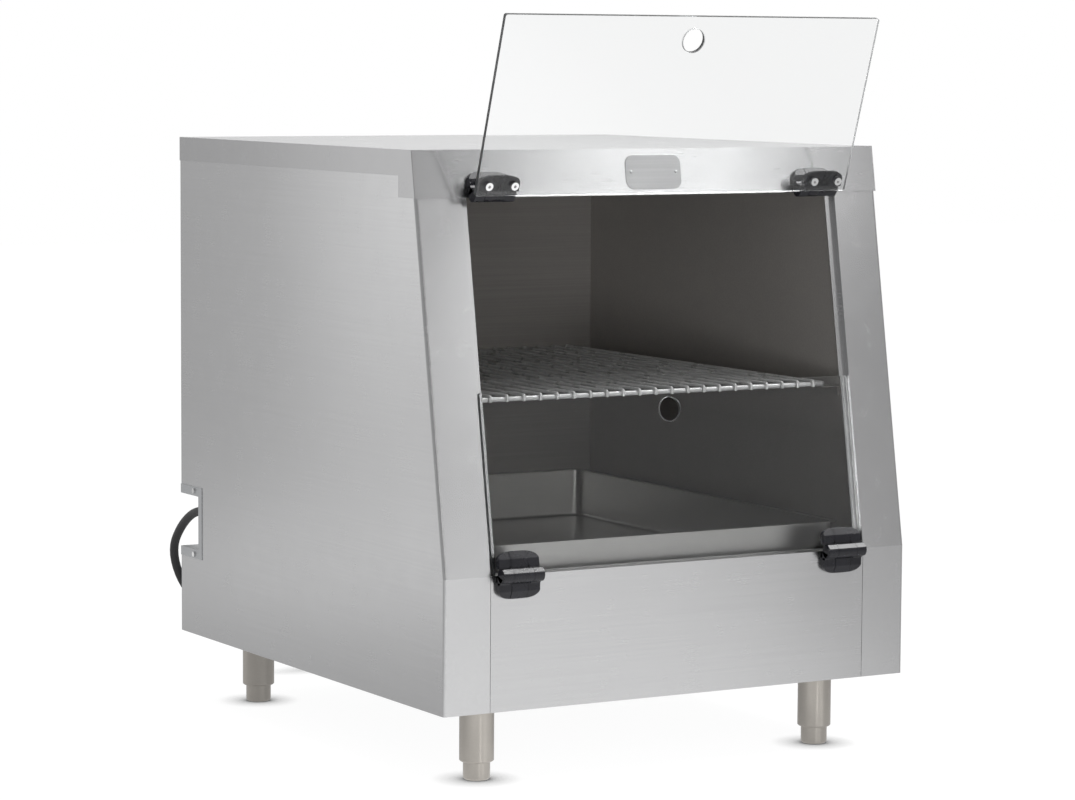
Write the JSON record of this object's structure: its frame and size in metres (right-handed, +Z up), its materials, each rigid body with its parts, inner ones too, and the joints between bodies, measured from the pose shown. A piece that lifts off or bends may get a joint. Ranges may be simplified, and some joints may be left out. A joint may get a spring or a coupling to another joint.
{
  "type": "heated holding cabinet",
  "caption": "Countertop heated holding cabinet with a sloped front, clear friction-hinged doors, a lift-out wire shelf and pan, short legs and a mains cord.",
  "frame": {"origin": "under the middle of the cabinet, on the floor plane of the feet", "axes": "+X to the right seen from the front, the doors face -Y, +Z up"},
  "size_m": [0.7244, 1.1136, 1.0008],
  "materials": {
    "body_steel": "brushed, fine vertical grain",
    "plain_steel": "mill finish",
    "liner_steel": "dull, half reflecting",
    "insulation": "matt wool",
    "clear_sheet": "clear, polished",
    "hinge_black": "moulded, slight sheen",
    "fastener_steel": "bright",
    "leg_steel": "satin",
    "foot_steel": "satin",
    "shelf_chrome": "plated",
    "pan_steel": "satin",
    "cord_black": "matt",
    "relief_black": "moulded",
    "element_steel": "heat darkened",
    "control_body": "moulded",
    "terminal_white": "moulded",
    "control_black": "moulded"
  },
  "bodies": {
    "body": {"left_side_panel": "body_steel", "right_side_panel": "body_steel", "top_cap": "body_steel", "base_panel": "plain_steel", "lower_front_panel": "body_steel", "back_panel": "plain_steel", "left_liner_wall": "liner_steel", "right_liner_wall": "liner_steel", "back_liner_wall": "liner_steel", "liner_ceiling": "liner_steel", "liner_floor": "liner_steel", "left_insulation": "insulation", "right_insulation": "insulation", "back_insulation": "insulation", "top_insulation": "insulation", "left_shelf_support": "liner_steel", "right_shelf_support": "liner_steel", "upper_left_hinge_fixed_leaf": "hinge_black", "upper_right_hinge_fixed_leaf": "hinge_black", "lower_left_hinge_fixed_leaf": "hinge_black", "lower_right_hinge_fixed_leaf": "hinge_black", "upper_hinge_fixed_caps": "hinge_black", "lower_hinge_fixed_caps": "hinge_black", "upper_hinge_pins": "fastener_steel", "lower_hinge_pins": "fastener_steel", "hinge_body_screws": "fastener_steel", "leg_front_left": "leg_steel", "leg_rear_left": "leg_steel", "leg_front_right": "leg_steel", "leg_rear_right": "leg_steel", "leg_plate_bolts": "fastener_steel", "cord_recess": "plain_steel", "rear_screws": "fastener_steel", "strain_relief": "relief_black", "power_cord": "cord_black", "cord_coil": "cord_black", "plug": "cord_black", "heating_element": "element_steel", "element_brackets": "plain_steel", "thermostat": "control_body", "power_switch": "control_black", "terminal_block": "terminal_white"},
    "upper_door_body": {"upper_door": "clear_sheet", "upper_left_hinge_moving_leaf": "hinge_black", "upper_right_hinge_moving_leaf": "hinge_black", "upper_hinge_moving_caps": "hinge_black", "upper_door_screws": "fastener_steel"},
    "lower_door_body": {"lower_door": "clear_sheet", "lower_left_hinge_moving_leaf": "hinge_black", "lower_right_hinge_moving_leaf": "hinge_black", "lower_hinge_moving_caps": "hinge_black", "lower_door_screws": "fastener_steel"},
    "shelf": {"wire_shelf": "shelf_chrome"},
    "pan": {"chip_pan": "pan_steel"},
    "front_left_foot": {"foot_front_left": "foot_steel"},
    "rear_left_foot": {"foot_rear_left": "foot_steel"},
    "front_right_foot": {"foot_front_right": "foot_steel"},
    "rear_right_foot": {"foot_rear_right": "foot_steel"},
    "knob": {"thermostat_knob": "control_black"},
    "rocker": {"switch_rocker": "control_black"}
  },
  "joints": [
    {"name": "upper_door_hinge", "type": "hinge", "parent": "body", "child": "upper_door_body", "pos_m": [0, -0.3317, 0.76757], "axis": [1, 0, 0], "range_deg": [-15, 152]},
    {"name": "lower_door_hinge", "type": "hinge", "parent": "body", "child": "lower_door_body", "pos_m": [0, -0.41375, 0.2806], "axis": [1, 0, 0], "range_deg": [0, 160]},
    {"name": "shelf_lift", "type": "slide", "parent": "body", "child": "shelf", "axis": [0, 0, 1], "range_m": [0, 0.04]},
    {"name": "pan_lift", "type": "slide", "parent": "body", "child": "pan", "axis": [0, 0, 1], "range_m": [0, 0.06]},
    {"name": "knob_turn", "type": "hinge", "parent": "body", "child": "knob", "pos_m": [0.19, 0.40425, 0.1736], "axis": [0, -1, 0], "range_deg": [0, 270]},
    {"name": "rocker_tilt", "type": "hinge", "parent": "body", "child": "rocker", "pos_m": [0.12, 0.40425, 0.1736], "axis": [-1, 0, 0], "range_deg": [0, 18]},
    {"name": "front_left_foot_screw", "type": "slide", "parent": "body", "child": "front_left_foot", "axis": [0, 0, -1], "range_m": [0, 0.02]},
    {"name": "rear_left_foot_screw", "type": "slide", "parent": "body", "child": "rear_left_foot", "axis": [0, 0, -1], "range_m": [0, 0.02]},
    {"name": "front_right_foot_screw", "type": "slide", "parent": "body", "child": "front_right_foot", "axis": [0, 0, -1], "range_m": [0, 0.02]},
    {"name": "rear_right_foot_screw", "type": "slide", "parent": "body", "child": "rear_right_foot", "axis": [0, 0, -1], "range_m": [0, 0.02]}
  ]
}
